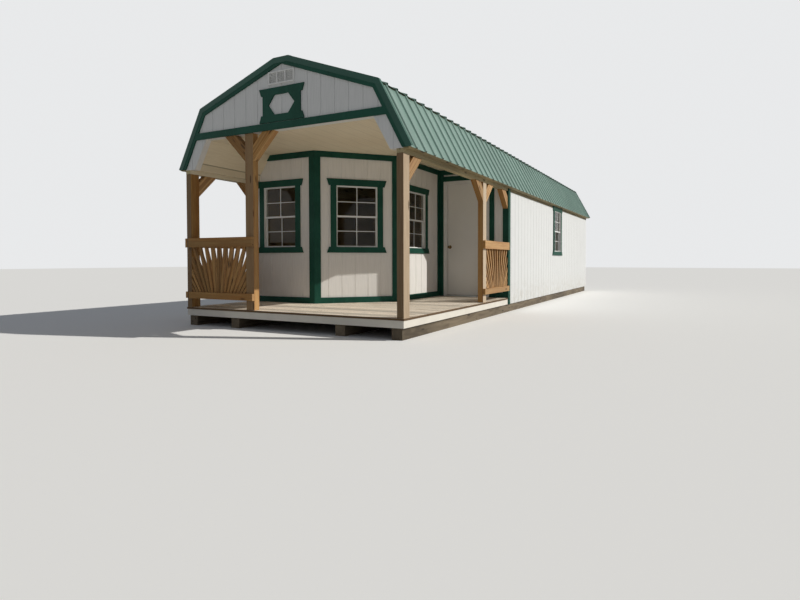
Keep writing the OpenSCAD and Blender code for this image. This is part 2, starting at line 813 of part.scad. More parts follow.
module door_knob() {
    color(brass) {
        at_wall(DOOR, leaf_s + 60, knob_z) translate([0, wall_in - door_t, 0]) knob();
        at_wall(DOOR, leaf_s + 60, knob_z) translate([0, wall_in, 0]) mirror([0, 1, 0]) knob();
    }
}
hinge_h = 89;
module door_hinges() {
    color(brass) for (z = [180, door_h / 2 - hinge_h / 2, door_h - 180 - hinge_h])
        at_wall(DOOR, hinge_s, leaf_z + z) {
            translate([0, hinge_y, 0]) cylinder(h = hinge_h, r = pin_r, $fn = 32);
            translate([-36, wall_in, 0]) cube([36, 3, hinge_h]);
        }
}

skids();
floor_joists();
rim_boards();
porch_deck();
cabin_floor();
porch_posts();
knee_braces();
porch_headers();
front_railing();
left_railing();
right_railing();
left_wall();
right_wall();
rear_wall();
front_wall();
bay_wall();
porch_side_wall();
door_wall_left();
door_wall_right();
door_wall_header();
top_plates();
side_siding();
rear_siding();
porch_siding();
front_gable();
front_gable_siding();
porch_ceiling();
roof_boards();
lower_roof_sheets();
upper_roof_sheets();
roof_flashings();
rake_boards();
rake_flashings();
eave_boards();
gable_trim();
gable_vent();
wall_trim();
window_casings();
window_frames();
window_glass();
door_casing();
door_frame();
door_sill();
door_leaf();
door_knob();
door_hinges();
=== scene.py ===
# %% [markdown]
# # A portable barn cabin with a corner porch
#
# The cabin is a long box under a gambrel roof, on timber skids. Its porch wraps round one front corner.
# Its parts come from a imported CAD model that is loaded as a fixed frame. This script gives each part its
# finish, and builds in meshes what CAD leaves plain: planks with their own grain, sunburst railings, corner
# boards, sash windows, ribbed roof sheets and their screws, the gable vent, the door knob and the nails.
# All lengths are in metres.

# %% Load the frame
import math
import bpy
import numpy as np
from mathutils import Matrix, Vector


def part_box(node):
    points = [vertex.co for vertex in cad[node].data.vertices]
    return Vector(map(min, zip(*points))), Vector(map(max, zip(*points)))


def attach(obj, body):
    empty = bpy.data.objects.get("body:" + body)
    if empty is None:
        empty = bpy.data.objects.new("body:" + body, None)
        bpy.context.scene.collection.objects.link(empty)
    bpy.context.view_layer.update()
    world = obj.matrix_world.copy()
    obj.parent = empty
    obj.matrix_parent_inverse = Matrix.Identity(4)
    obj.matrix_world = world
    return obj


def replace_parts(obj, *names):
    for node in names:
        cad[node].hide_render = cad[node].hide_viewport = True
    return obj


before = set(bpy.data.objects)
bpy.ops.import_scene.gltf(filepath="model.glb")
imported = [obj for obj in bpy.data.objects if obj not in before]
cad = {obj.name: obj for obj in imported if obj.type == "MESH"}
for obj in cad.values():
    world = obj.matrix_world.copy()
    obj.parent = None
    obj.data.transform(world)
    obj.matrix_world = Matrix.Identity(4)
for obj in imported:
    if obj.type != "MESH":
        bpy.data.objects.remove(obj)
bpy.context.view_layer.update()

# %% [markdown]
# ## Measures from the frame
#
# A node such as the porch posts holds several solids. Each solid's box says where a new plank has to go,
# so nothing is measured twice. The CAD mesh is loose triangles, so the solids are found first: vertices at
# one place are welded, then every triangle hands the lowest label of its corners to all three, until no
# label changes. The boxes are put in order along a direction: from left to right, or from front to back.

# %% Boxes of the solids of a node
HAIR = 0.001
CEILING_T = 0.01
TO_THE_RIGHT, TO_THE_BACK = (1, 0.01, 0), (0, 1, 0)


def mesh_arrays(node):
    """Vertex places (n, 3) and triangles (m, 3) of a CAD node, with vertices at one place welded."""
    mesh = cad[node].data
    places = np.empty(len(mesh.vertices) * 3)
    mesh.vertices.foreach_get("co", places)
    corners = np.empty(len(mesh.loops), int)
    mesh.loops.foreach_get("vertex_index", corners)
    welded, index = np.unique(places.reshape(-1, 3).round(5), axis=0, return_inverse=True)
    return welded, index.ravel()[corners].reshape(-1, 3)


def solids(node, order=TO_THE_RIGHT):
    """Low and high corners of a node's solids, as an array (solids, 2, 3) in order along a direction."""
    places, triangles = mesh_arrays(node)
    label = np.arange(len(places))
    while True:
        lowest = label.copy()
        np.minimum.at(lowest, triangles.ravel(), label[triangles].min(axis=1).repeat(3))
        if (lowest == label).all():
            break
        label = lowest
    members = [places[label == k] for k in np.unique(label)]
    boxes = np.array([[part.min(axis=0), part.max(axis=0)] for part in members])
    return boxes[np.argsort(boxes[:, 0] @ order)]


posts = solids("porch_posts")
left_post, inner_post, front_post, side_post = posts
floor_z = posts[0, 0, 2]
front_y = left_post[0, 1]
wall_x = -left_post[0, 0]
post_w = left_post[1][0] - left_post[0][0]
post_d = left_post[1][1] - left_post[0][1]
header_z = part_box("porch_headers")[0].z
ceiling_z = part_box("porch_ceiling")[1].z - CEILING_T
print(f"posts stand on {floor_z:.3f}, headers at {header_z:.3f}, ceiling at {ceiling_z:.3f}")

# %% [markdown]
# ## Camera
#
# The camera stands low in front of the right corner. Its place and direction were worked out from the
# places of the gable, the deck, the posts and the roof in the picture: a wide lens, nearly level and aimed a
# little to the left. Its axis meets the picture right of the middle and above it, as in a picture that was
# cropped. That is a shift of the lens and not a turn.

# %% Camera
PICTURE_W, PICTURE_H = 800, 600
FOCAL_PIXELS = 526.3
AXIS_COLUMN, AXIS_ROW = 442.7, 273.75
CAMERA_PLACE = (4.698, -10.628, 0.911)
CAMERA_YAW = math.radians(25.56)
CAMERA_PITCH = math.radians(-1.46)

scene = bpy.context.scene
lens = bpy.data.cameras.new("camera")
lens.sensor_width = 36
lens.lens = FOCAL_PIXELS / PICTURE_W * lens.sensor_width
lens.shift_x = (PICTURE_W / 2 - AXIS_COLUMN) / PICTURE_W
lens.shift_y = (AXIS_ROW - PICTURE_H / 2) / PICTURE_W
lens.clip_end = 200
camera = bpy.data.objects.new("camera", lens)
camera.location = CAMERA_PLACE
camera.rotation_euler = (math.radians(90) + CAMERA_PITCH, 0, CAMERA_YAW)
scene.collection.objects.link(camera)
scene.camera = camera
scene.view_settings.view_transform = "Standard"
print(f"camera with a {lens.lens:.1f} mm lens")

# %% [markdown]
# ## Mesh and material helpers
#
# Every new mesh is arrays first: places of the vertices, lists of vertex numbers for the faces. A material
# is one shader with pattern nodes in front of it. The small functions below add a node and link its inputs,
# so a finish reads as a list of what it is made of.

# %% Mesh from arrays
def add_piece(name, places, faces, finish, slot, body="cabin", attributes=None):
    """A mesh object at the origin from places (n, 3) and faces, riding on a body of the frame."""
    mesh = bpy.data.meshes.new(name)
    mesh.from_pydata(np.asarray(places).tolist(), [], [list(map(int, f)) for f in faces])
    for key, values in (attributes or {}).items():
        layer = mesh.attributes.new(key, "FLOAT_VECTOR", "POINT")
        layer.data.foreach_set("vector", values.astype(np.float32).ravel())
    mesh.materials.append(finish)
    piece = bpy.data.objects.new(name, mesh)
    scene.collection.objects.link(piece)
    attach(piece, body)
    print(f"{name}: {len(mesh.vertices)} vertices, {len(mesh.polygons)} faces")
    return piece


def join(parts):
    """One shape from several, which all have places, faces and any other arrays that go with the places."""
    places, faces, *others = zip(*parts)
    starts = np.cumsum([0] + [len(part) for part in places])
    counted_on = [face + start for part, start in zip(faces, starts) for face in part]
    return np.concatenate(places), counted_on, *map(np.concatenate, others)


def bevel(piece, width):
    """Rounds the sharp edges of a piece."""
    modifier = piece.modifiers.new("edges", "BEVEL")
    modifier.width = width
    modifier.segments = 2
    modifier.limit_method = "ANGLE"
    modifier.angle_limit = math.radians(40)


# %% Pattern nodes
def new_finish(name, **sockets):
    """A material; each keyword sets a socket of its shader, with _ for a space in its name."""
    finish = bpy.data.materials.new(name)
    finish.use_nodes = True
    shader = finish.node_tree.nodes["Principled BSDF"]
    for key, value in sockets.items():
        shader.inputs[key.replace("_", " ")].default_value = value
    return finish


def add_node(finish, kind, inputs, output=0, **settings):
    """Adds a shader node, fills its inputs with numbers or links, and returns one of its outputs."""
    node = finish.node_tree.nodes.new("ShaderNode" + kind)
    for key, value in settings.items():
        setattr(node, key, value)
    for key, value in inputs.items():
        if isinstance(value, bpy.types.NodeSocket):
            finish.node_tree.links.new(value, node.inputs[key])
        else:
            node.inputs[key].default_value = value
    return node.outputs[output]


def to_shader(finish, **links):
    """Links outputs to the shader's sockets."""
    shader = finish.node_tree.nodes["Principled BSDF"]
    for key, value in links.items():
        finish.node_tree.links.new(value, shader.inputs[key.replace("_", " ")])


def colour_of(finish):
    """What the shader takes its colour from so far."""
    return finish.node_tree.nodes["Principled BSDF"].inputs["Base Color"].links[0].from_socket


def own_place(finish):
    """Object coordinates, which on these pieces are metres in the frame."""
    return add_node(finish, "TexCoord", {}, "Object")


def place_part(finish, axis):
    """One number of the place: X across the cabin, Y along it, Z up."""
    return add_node(finish, "SeparateXYZ", {"Vector": own_place(finish)}, axis)


def facing(finish, axis):
    """One number of the direction that the surface faces, from -1 to 1."""
    normal = add_node(finish, "NewGeometry", {}, "Normal")
    return add_node(finish, "SeparateXYZ", {"Vector": normal}, axis)


def attribute(finish, name):
    return add_node(finish, "Attribute", {}, "Vector", attribute_name=name)


def stretched(finish, vector, scale):
    """A vector multiplied axis by axis."""
    return add_node(finish, "Mapping", {"Vector": vector, "Scale": scale})


def noise(finish, vector, scale, detail=3.0, roughness=0.5):
    return add_node(finish, "TexNoise", {
        "Vector": vector, "Scale": scale, "Detail": detail, "Roughness": roughness})


def streaks(finish, vector, scale, detail=3.0, roughness=0.5):
    """Noise that is drawn out: scale is waves a metre, axis by axis."""
    return noise(finish, stretched(finish, vector, scale), 1.0, detail, roughness)


def math_node(finish, operation, a, b=0.0):
    return add_node(finish, "Math", {0: a, 1: b}, operation=operation)


def between(finish, value, low, high, out_low=0.0, out_high=1.0):
    """Maps value from low..high to out_low..out_high, smoothly and held at the ends."""
    return add_node(finish, "MapRange", {
        "Value": value, "From Min": low, "From Max": high, "To Min": out_low, "To Max": out_high},
        interpolation_type="SMOOTHSTEP")


def blend(finish, share, first, second, way="MIX"):
    """Colour between first (share 0) and second (share 1)."""
    node = finish.node_tree.nodes.new("ShaderNodeMix")
    node.data_type = "RGBA"
    node.blend_type = way
    for number, value in ((0, share), (6, first), (7, second)):
        if isinstance(value, bpy.types.NodeSocket):
            finish.node_tree.links.new(value, node.inputs[number])
        else:
            node.inputs[number].default_value = value if number == 0 else (*value, 1)
    return node.outputs[2]


def relief(finish, height, depth):
    """A bump whose full height is depth metres."""
    return add_node(finish, "Bump", {"Height": height, "Distance": depth})


def darker(colour, share):
    return tuple(share * c for c in colour)


# %% [markdown]
# ## Painted panels
#
# The walls are pressed wood panels with a fine embossed grain that runs up and down, painted white. Up
# close they show that grain and a faint soiling, more of it low down where rain splashes. The grooves are
# real ones in the frame. A stretched noise makes the grain, a wide one the soiling.

# %% Panel paint
GRAIN_UP = (60, 60, 4)
SOIL_FULL = 0.1
SOIL_SHARE = 0.45


def panel_paint(name, colour, soil, soil_top=0.7):
    """Painted panel. The soil starts at soil_top over the ground and is full at SOIL_FULL."""
    finish = new_finish(name, Roughness=0.55, Specular_IOR_Level=0.35)
    place = own_place(finish)
    grain = streaks(finish, place, GRAIN_UP, detail=4)
    cloud = noise(finish, place, 0.8, detail=4, roughness=0.6)
    spots = noise(finish, place, 9.0, detail=6, roughness=0.7)
    low = between(finish, place_part(finish, "Z"), soil_top, SOIL_FULL)
    dirt = math_node(finish, "MULTIPLY", low, between(finish, spots, 0.35, 0.75))
    tone = blend(finish, between(finish, cloud, 0.3, 0.7, 0.0, 0.35), colour, darker(colour, 0.9))
    tone = blend(finish, between(finish, grain, 0.35, 0.6, 0.25, 0.0), tone, darker(colour, 0.8))
    to_shader(finish,
              Base_Color=blend(finish, math_node(finish, "MULTIPLY", dirt, SOIL_SHARE), tone, soil),
              Normal=relief(finish, grain, 0.0008))
    return finish


white_panel = panel_paint("white_panel", (0.77, 0.785, 0.79), (0.42, 0.37, 0.28))
# The porch's walls are the same white panel, painted warmer and paler: painted light, for the warm light that
# the deck throws up under the porch.
porch_panel_with_painted_light = panel_paint("porch_panel_with_painted_light", (0.84, 0.825, 0.80), (0.50, 0.42, 0.31), soil_top=0.5)
inner_panel = panel_paint("inner_panel", (0.34, 0.25, 0.15), (0.25, 0.19, 0.12), soil_top=0.3)
print("panel paints:", white_panel.name, inner_panel.name)

# %% [markdown]
# The porch ceiling is the same panel laid flat and painted cream. Its grooves run along the porch, a hand
# apart, and stop where the slopes start. They are shallow enough to be drawn by the material: the place
# across the ceiling is folded into one groove's pitch, and what lies near the fold is sunk and painted
# darker, as painted shade in the groove. A seam lies where the slopes end, sunk and painted darker in the
# same way: painted shade in its gap.

# %% Ceiling paint
GROOVE_PITCH = 0.203
GROOVE_HALF = 0.006
GROOVE_SHARE = 0.35
FLAT_HALF = 1.354
SLOPE_END = 1.574
SEAM_HALF = 0.007


def from_middle(finish):
    """Distance from the cabin's upright middle plane."""
    return math_node(finish, "ABSOLUTE", place_part(finish, "X"))


def ceiling_paint(name, colour, cloudy, grained, gap_shade_colour):
    finish = new_finish(name, Roughness=0.6, Specular_IOR_Level=0.3)
    place, across = own_place(finish), from_middle(finish)
    fold = math_node(finish, "PINGPONG", across, GROOVE_PITCH / 2)
    groove = math_node(finish, "MULTIPLY", math_node(finish, "LESS_THAN", across, FLAT_HALF),
                       between(finish, fold, GROOVE_HALF, GROOVE_HALF / 3, 0.0, GROOVE_SHARE))
    from_seam = math_node(finish, "ABSOLUTE", math_node(finish, "SUBTRACT", across, SLOPE_END))
    gap_depth_and_shade = math_node(finish, "MAXIMUM", groove, between(finish, from_seam, SEAM_HALF, SEAM_HALF / 2))
    grain = streaks(finish, place, (60, 4, 60), detail=4)
    cloud = noise(finish, place, 1.1, detail=4)
    tone = blend(finish, between(finish, cloud, 0.3, 0.7), colour, cloudy)
    tone = blend(finish, between(finish, grain, 0.4, 0.6, 0.2, 0.0), tone, grained)
    sunk = math_node(finish, "SUBTRACT", math_node(finish, "MULTIPLY", grain, 0.15), gap_depth_and_shade)
    # The grooves and the seam are sunk by the relief and also painted darker: that darkening is painted
    # shade.
    to_shader(finish,
              Base_Color=blend(finish, math_node(finish, "MULTIPLY", gap_depth_and_shade, 0.75), tone, gap_shade_colour),
              Normal=relief(finish, sunk, 0.003))
    return finish


# The last colour is the painted shade in the grooves and the seam.
cream_ceiling = ceiling_paint("cream_ceiling", (0.90, 0.80, 0.61), (0.84, 0.73, 0.54), (0.66, 0.56, 0.40),
                              (0.30, 0.25, 0.18))
print("ceiling paint: a groove every", GROOVE_PITCH)

# %% [markdown]
# ## Green paint and green metal
#
# The trim boards are brushed with a dark hunter green: brush marks, slightly worn on high spots. The roof
# is pressed steel with a baked coat of nearly the same green, smoother and lighter where the sky catches
# it, with a little chalking and long faint streaks where water runs down. Flashings have the same coat in a
# much darker green: painted shade, for the shade that their faces lie in.

# %% Trim paint
trim_paint = new_finish("trim_paint", Roughness=0.6, Specular_IOR_Level=0.18)
brush = streaks(trim_paint, own_place(trim_paint), (40, 40, 9), detail=5, roughness=0.6)
cloud = noise(trim_paint, own_place(trim_paint), 3.0)
tone = blend(trim_paint, between(trim_paint, cloud, 0.3, 0.7), (0.006, 0.052, 0.034), (0.010, 0.072, 0.048))
worn_or_lit = between(trim_paint, brush, 0.5, 0.75, 0.0, 0.5)
to_shader(trim_paint,
          Base_Color=blend(trim_paint, worn_or_lit, tone, (0.018, 0.095, 0.064)),
          Normal=relief(trim_paint, brush, 0.0006))
print("trim paint:", trim_paint.name)

# %% Roof coat
def roof_coat(name, colour, chalk, roughness):
    finish = new_finish(name, Roughness=roughness, Specular_IOR_Level=0.3)
    place = own_place(finish)
    streak = streaks(finish, place, (1.2, 14, 1.2), detail=4, roughness=0.6)
    dent = streaks(finish, place, (1.5, 5, 1.5), detail=1)
    cloud = noise(finish, place, 0.9)
    tone = blend(finish, between(finish, cloud, 0.3, 0.7), colour, darker(colour, 0.86))
    to_shader(finish,
              Base_Color=blend(finish, between(finish, streak, 0.45, 0.75, 0.0, 0.45), tone, chalk),
              Normal=relief(finish, dent, 0.004))
    return finish


roof_metal = roof_coat("roof_metal", (0.185, 0.295, 0.255), (0.285, 0.395, 0.355), 0.42)
# The flashings' coat is the roof's green made much darker: painted shade, for the shade that their faces lie
# in.
flashing_metal = roof_coat("flashing_metal", (0.014, 0.080, 0.056), (0.030, 0.125, 0.090), 0.45)
print("roof coats:", roof_metal.name, flashing_metal.name)

# %% [markdown]
# ## Timber
#
# Treated pine shows growth rings as lines along the board, wide streaks of warmer and paler wood, and a
# few knots. A solid pattern gives all faces at once, end grain too: rings round an axis that lies outside
# the board, stretched along it and disturbed by noise. Planks that this script makes carry their own grain
# coordinates as an attribute, with the first number along the plank, and a tone that differs from plank to
# plank. The frame's own timber, which lies along the cabin, uses its place in metres, turned so that the
# first number runs along the timber. The porch headers are cream on their inner faces, like the ceiling.

# %% Timber finish
RING_WAVES = 22.0
RING_BEND = 0.05
TONE_LOW, TONE_RANGE = 0.68, 0.5
QUARTER_TURN = (0, 0, math.radians(-90))


def timber(name, vector, tone, pale, warm, dark, knots=0.8, roughness=0.7, wear_and_light=None):
    """Growth rings of a few millimetres, streaks of some centimetres and knots, from a vector in metres."""
    finish = new_finish(name, Roughness=roughness, Specular_IOR_Level=0.3)
    grain = vector(finish)
    bend = streaks(finish, grain, (1.5, 6, 6), detail=2)
    bent = add_node(finish, "VectorMath", {0: grain, 1: add_node(finish, "CombineXYZ", {
        "Y": math_node(finish, "MULTIPLY", bend, RING_BEND)})}, operation="ADD")
    rings = add_node(finish, "TexWave", {
        "Vector": stretched(finish, bent, (0.12, 1, 1)), "Scale": RING_WAVES, "Distortion": 1.5,
        "Detail": 2.0, "Detail Scale": 1.5}, "Fac", wave_type="RINGS", rings_direction="X")
    fibre = streaks(finish, grain, (4, 160, 160))
    streak = streaks(finish, grain, (1.2, 22, 22))
    spots = add_node(finish, "TexVoronoi", {
        "Vector": stretched(finish, grain, (2.6, 11, 11)), "Scale": 1.0, "Randomness": 1.0}, "Distance")
    knot = math_node(finish, "MULTIPLY", between(finish, spots, 0.20, 0.09), knots)
    colour = blend(finish, between(finish, streak, 0.32, 0.68), pale, warm)
    if wear_and_light:
        colour = wear_and_light(finish, colour)
    colour = blend(finish, between(finish, rings, 0.35, 0.95, 0.0, 0.45), colour, dark)
    colour = blend(finish, between(finish, fibre, 0.35, 0.62, 0.22, 0.0), colour, dark)
    colour = blend(finish, knot, colour, darker(dark, 0.35))
    shade = math_node(finish, "ADD", math_node(finish, "MULTIPLY", tone(finish), TONE_RANGE), TONE_LOW)
    grey = add_node(finish, "CombineXYZ", {"X": shade, "Y": shade, "Z": shade})
    height = math_node(finish, "SUBTRACT", math_node(finish, "MULTIPLY", fibre, 0.5), rings)
    to_shader(finish,
              Base_Color=blend(finish, 1.0, colour, grey, "MULTIPLY"),
              Normal=relief(finish, height, 0.0006))
    return finish


def wear_and_light_of(finish, part):
    """One number that a plank carries: X its tone, Y how grey and dark its front is, from weather and from
    painted shade, Z how much painted sunlight its right side has.
    """
    return add_node(finish, "SeparateXYZ", {"Vector": attribute(finish, "wear_and_light")}, part)


def plank_tone(finish):
    return wear_and_light_of(finish, "X")


def plank_grain(finish):
    return attribute(finish, "grain")


def cabin_grain(finish):
    """The place in metres, with its first number along the cabin."""
    return add_node(finish, "Mapping", {"Vector": own_place(finish), "Rotation": QUARTER_TURN})


def wide_tone(finish):
    """A tone that changes slowly over metres."""
    return between(finish, noise(finish, own_place(finish), 0.7, detail=1), 0.3, 0.7)


def pine_weather_and_painted_light(finish, colour):
    """Greys and darkens the faces that look to the front, partly weather and partly painted shade. Makes the
    faces that look to the right, towards the lamp, paler: painted sunlight.
    """
    # Front faces turn a dark grey, partly weather and partly painted shade. Right faces, which look towards
    # the lamp, turn pale: painted sunlight.
    for axis, low, high, part, worn_or_lit in (("Y", -0.3, -0.9, "Y", (0.20, 0.165, 0.115)),
                                        ("X", 0.3, 0.9, "Z", (0.72, 0.60, 0.45))):
        faces_it = between(finish, facing(finish, axis), low, high)
        share = math_node(finish, "MULTIPLY", faces_it, wear_and_light_of(finish, part))
        colour = blend(finish, share, colour, worn_or_lit)
    return colour


pine = timber("treated_pine", plank_grain, plank_tone,
              (0.55, 0.315, 0.108), (0.42, 0.190, 0.046), (0.15, 0.070, 0.020), wear_and_light=pine_weather_and_painted_light)
brown_beam = timber("brown_beam", cabin_grain, wide_tone,
                    (0.45, 0.38, 0.21), (0.36, 0.29, 0.155), (0.17, 0.13, 0.07))
# The headers are the brown timber made about a third paler: painted light, for the light that falls on them.
header_beam_with_painted_light = timber("header_beam_with_painted_light", cabin_grain, wide_tone,
                     (0.62, 0.53, 0.31), (0.52, 0.43, 0.24), (0.26, 0.20, 0.11))
inner_face = math_node(header_beam_with_painted_light, "LESS_THAN", from_middle(header_beam_with_painted_light), wall_x - post_w + HAIR)
to_shader(header_beam_with_painted_light, Base_Color=blend(header_beam_with_painted_light, inner_face, colour_of(header_beam_with_painted_light), (0.77, 0.69, 0.53)))
skid_timber = timber("skid_timber", cabin_grain, wide_tone,
                     (0.20, 0.16, 0.11), (0.15, 0.12, 0.08), (0.07, 0.05, 0.035))
print("timber finishes:", pine.name, brown_beam.name, skid_timber.name)

# %% [markdown]
# The deck boards lie side by side across the porch. Each board gets its own tone from its number, which is
# its place along the porch divided by the pitch of the boards and rounded down. Sun and rain have faded
# their tops, with brown stains left by wet leaves. Their edges and undersides are painted dark brown:
# painted shade, with the darker brown of weathered edges.

# %% Deck finish
deck_solids = solids("porch_deck", TO_THE_BACK)
deck_pitch = deck_solids[1, 0, 1] - deck_solids[0, 0, 1]
deck_start = deck_solids[0, 0, 1]


def board_number(finish):
    along = math_node(finish, "SUBTRACT", place_part(finish, "Y"), float(deck_start))
    return math_node(finish, "FLOOR", math_node(finish, "DIVIDE", along, float(deck_pitch)))


def board_tone(finish):
    return add_node(finish, "TexWhiteNoise", {"W": board_number(finish)}, "Value", noise_dimensions="1D")


def board_grain(finish):
    shift = math_node(finish, "MULTIPLY", board_number(finish), 3.7)
    moved = add_node(finish, "CombineXYZ", {"X": shift, "Z": shift})
    return add_node(finish, "VectorMath", {0: own_place(finish), 1: moved}, operation="ADD")


deck_wood = timber("deck_wood", board_grain, board_tone,
                   (0.92, 0.845, 0.73), (0.85, 0.755, 0.62), (0.54, 0.43, 0.31), knots=0.7, roughness=0.8)
wet = streaks(deck_wood, own_place(deck_wood), (1.2, 5, 1), detail=5, roughness=0.65)
stain = between(deck_wood, wet, 0.56, 0.72, 0.0, 0.55)
top = blend(deck_wood, stain, colour_of(deck_wood), (0.30, 0.20, 0.12))
# Faces that do not look up turn dark brown: painted shade along the boards' edges and under them, with the
# darker brown of weathered edges.
upward = between(deck_wood, facing(deck_wood, "Z"), 0.3, 0.7)
to_shader(deck_wood, Base_Color=blend(deck_wood, upward, (0.13, 0.080, 0.042), top))
print(f"deck finish: {len(deck_solids)} solids, a board every {deck_pitch:.3f}")

# %% [markdown]
# ## Small finishes
#
# Vinyl frames, glass, the steel door, the sill and the hardware. Window glass is clear and reflects; the
# dark room behind it does the rest.

# %% Small finishes
def plain_coat(name, colour, roughness, cloud_scale=6.0, depth=0.0002, **sockets):
    """An even coat with a faint cloudiness and a fine relief."""
    finish = new_finish(name, Roughness=roughness, **sockets)
    place = own_place(finish)
    cloud = between(finish, noise(finish, place, cloud_scale), 0.35, 0.7, 0.0, 0.5)
    fine = noise(finish, place, 350.0, detail=2)
    to_shader(finish,
              Base_Color=blend(finish, cloud, colour, darker(colour, 0.88)),
              Normal=relief(finish, fine, depth))
    return finish


rim_paint = plain_coat("rim_paint", (0.80, 0.765, 0.69), 0.6, cloud_scale=4.5, depth=0.0006)
frame_paint = plain_coat("frame_paint", (0.78, 0.78, 0.76), 0.45)
vinyl = plain_coat("white_vinyl", (0.82, 0.83, 0.82), 0.35)
door_paint = plain_coat("door_paint", (0.78, 0.77, 0.74), 0.4, cloud_scale=1.5)
sill_metal = plain_coat("sill_metal", (0.55, 0.55, 0.54), 0.4, Metallic=1.0)
knob_metal = plain_coat("knob_metal", (0.22, 0.15, 0.07), 0.3, Metallic=1.0)
nail_metal = plain_coat("nail_metal", (0.22, 0.20, 0.18), 0.5, Metallic=1.0)
window_glass = new_finish("window_glass", Base_Color=(0.74, 0.73, 0.66, 1), Roughness=0.02, IOR=1.22,
                          Transmission_Weight=1.0)
print("small finishes:", vinyl.name, door_paint.name, knob_metal.name)

# %% [markdown]
# ## Finishes on the frame's parts
#
# A node whose shape is right stays as it is and only gets a finish. The table names every node that is
# shown as it comes from CAD.

# %% Dress the nodes that stay
FINISHES = {
    white_panel: ["side_siding", "rear_siding", "front_gable_siding"],
    porch_panel_with_painted_light: ["porch_siding", "front_gable"],
    rim_paint: ["rim_boards"],
    frame_paint: ["door_frame"],
    inner_panel: ["left_wall", "right_wall", "rear_wall", "front_wall", "bay_wall", "porch_side_wall",
                  "door_wall_left", "door_wall_right", "door_wall_header"],
    cream_ceiling: ["porch_ceiling"],
    trim_paint: ["rake_boards", "gable_trim", "wall_trim", "window_casings", "door_casing"],
    flashing_metal: ["roof_flashings", "rake_flashings"],
    header_beam_with_painted_light: ["porch_headers"],
    brown_beam: ["top_plates", "roof_boards", "eave_boards"],
    skid_timber: ["skids", "floor_joists"],
    deck_wood: ["porch_deck", "cabin_floor"],
    door_paint: ["door_leaf"],
    sill_metal: ["door_sill"],
    knob_metal: ["door_hinges"],
}
for finish, names in FINISHES.items():
    for node_name in names:
        cad[node_name].data.materials.clear()
        cad[node_name].data.materials.append(finish)
print("dressed", sum(len(names) for names in FINISHES.values()), "nodes")

# %% [markdown]
# ## Planks
#
# A plank is a flat outline, seen from its face, pushed back by its thickness. The outline's first axis runs
# along the wall or bay that it stands in and its second axis is up, so a heading and a point place it. The
# grain attribute is the same point turned until its first number runs along the plank, plus a shift that
# gives each plank its own piece of the log. Its other attribute holds its tone, its greyness, which is partly
# weather and partly painted shade, and its share of painted sunlight.

# %% Plank helper
rng = np.random.default_rng(7)
GRAIN_SHIFT = ((-9, 0.06, 0.04), (9, 0.16, 0.12))


def rectangle(x0, z0, x1, z1):
    """Corners, counterclockwise as seen from the face."""
    return np.array([[x0, z0], [x1, z0], [x1, z1], [x0, z1]], float)


def cut(outline, normal, limit):
    """The part of a convex outline where point . normal is at most limit. Corners inside stay, and an edge
    that crosses the line gets its crossing point, at the share height / (height - next height)."""
    height = outline @ np.asarray(normal, float) - limit
    after, height_after = np.roll(outline, -1, axis=0), np.roll(height, -1)
    crosses = (height < 0) != (height_after < 0)
    share = np.where(crosses, height / np.where(crosses, height - height_after, 1), 0)[:, None]
    both = np.stack([outline, outline + share * (after - outline)], axis=1).reshape(-1, 2)
    return both[np.stack([height < 0, crosses], axis=1).ravel()]


def turned(points, heading):
    """Points (..., 3) turned about the vertical by an angle in degrees."""
    c, s = math.cos(math.radians(heading)), math.sin(math.radians(heading))
    return points @ np.array([[c, s, 0], [-s, c, 0], [0, 0, 1]])


def plank(outline, thickness, origin, heading=0.0, grain=0.0, grey=0.1, painted_sun=0.2):
    """Places, faces, grain coordinates and the other attribute of one plank: its tone, its greyness, which is
    partly weather and partly painted shade, and its painted sunlight. heading turns it about the vertical,
    and grain is the angle of the grain in the outline, both in degrees."""
    n = len(outline)
    face = np.column_stack([outline[:, 0], np.zeros(n), outline[:, 1]])
    local = np.concatenate([face, face + (0, thickness, 0)])
    ring = np.arange(n)
    after = np.roll(ring, -1)
    faces = [ring, ring[::-1] + n, *np.column_stack([ring, ring + n, after + n, after])]
    places = turned(local, heading) + np.asarray(origin, float)
    c, s = math.cos(math.radians(grain)), math.sin(math.radians(grain))
    x, y, z = local.T
    along = np.column_stack([x * c + z * s, z * c - x * s, y]) + rng.uniform(*GRAIN_SHIFT)
    return places, faces, along, np.tile((rng.uniform(), grey, painted_sun), (2 * n, 1))


def add_planks(name, planks, finish, slot, edge=0.003, replaced=()):
    """Joins planks into one piece with rounded edges, which stands for the named nodes."""
    places, faces, grain, wear_and_light = join(planks)
    piece = add_piece(name, places, faces, finish, slot, attributes={"grain": grain, "wear_and_light": wear_and_light})
    bevel(piece, edge)
    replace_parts(piece, *replaced)


# %% [markdown]
# ## Posts and knee braces
#
# The four posts stand on the deck with their grain upwards. From each post a brace goes up to the timber
# over it at 45 degrees: a straight piece as wide as the post is deep, cut level at the top and upright at
# the foot. The braces are made in the corner between post and timber, with the corner at zero. Each post
# has its own greyness on its front, partly weather and partly painted shade, and its own share of painted
# sunlight on its right side.

# %% Posts
# Per post from left to right: how grey and dark its front is, partly weather and partly painted shade, and
# how much painted sunlight lies on its right side.
GREY = (0.7, 0.65, 0.75, 0.1)
PAINTED_SUN = (0.0, 0.1, 0.8, 1.0)


def post_plank(low, high, grey, painted_sun):
    w, d, h = high - low
    return plank(rectangle(0, 0, w, h), d, low, grain=90, grey=grey, painted_sun=painted_sun)


add_planks("posts_of_pine", [post_plank(*box, *wear_and_light) for *wear_and_light, box in zip(GREY, PAINTED_SUN, posts)],
           pine, "pine", edge=0.004, replaced=["porch_posts"])

# %% Knee braces
BRACE_W = 0.140
BRACE_T = 0.089
SIDE_REACH = 0.305
GABLE_REACH = 0.360


